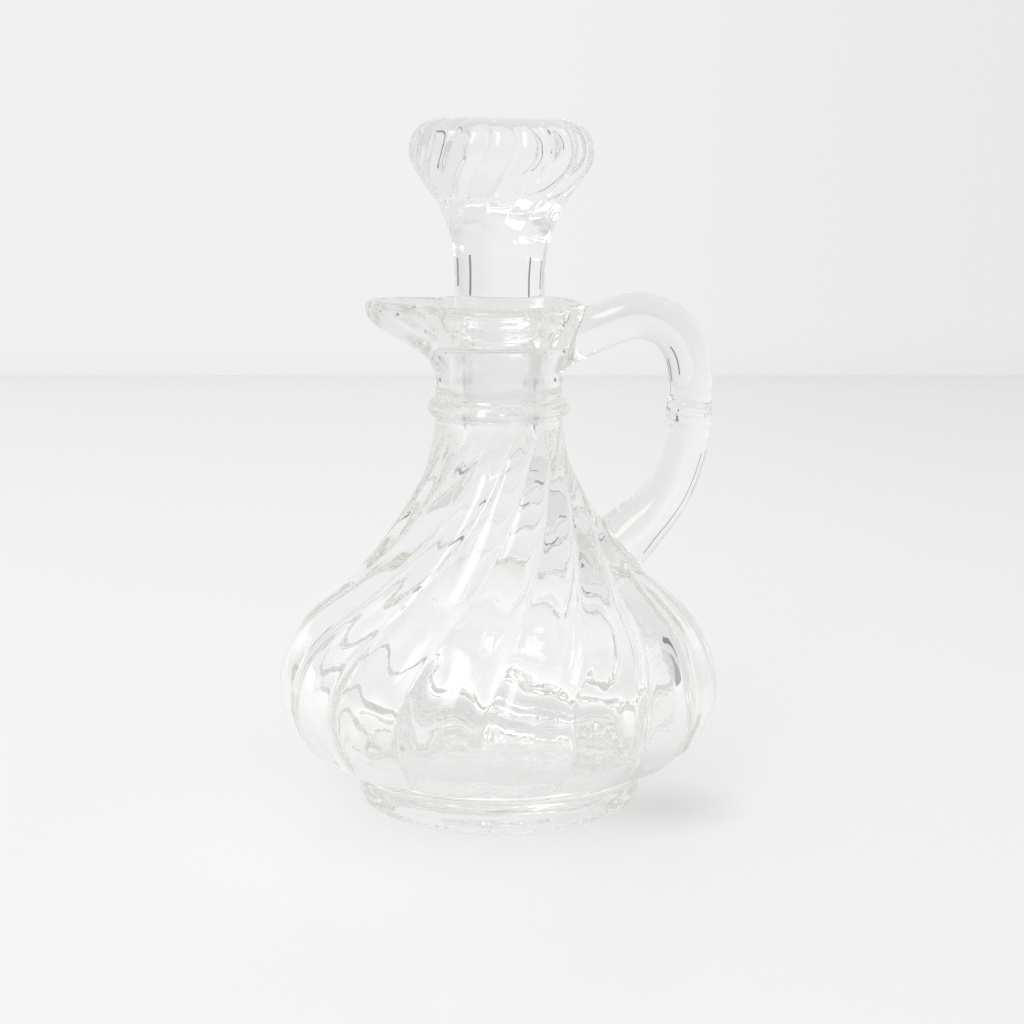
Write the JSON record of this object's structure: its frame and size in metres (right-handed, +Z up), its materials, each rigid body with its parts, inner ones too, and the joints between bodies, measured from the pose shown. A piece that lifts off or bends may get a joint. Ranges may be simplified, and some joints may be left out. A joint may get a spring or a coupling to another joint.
{
  "type": "glass cruet",
  "caption": "Clear pressed-glass oil or vinegar cruet: squat swirl-ribbed bottle with a narrow neck, poured-out spout, fused round handle and a loose mushroom stopper.",
  "frame": {"origin": "centre of the foot, on the surface that the foot rests on", "axes": "+Z up along the bottle's axis, +X towards the handle, -X towards the spout"},
  "size_m": [0.099, 0.099, 0.152],
  "materials": {
    "bottle_glass": "clear, fire polished, faint grey-green at the thick edges",
    "stopper_glass": "clear, fire polished, with a finely ground plug"
  },
  "bodies": {
    "root": {"carafe": "bottle_glass", "stopper": "stopper_glass"}
  },
  "joints": []
}
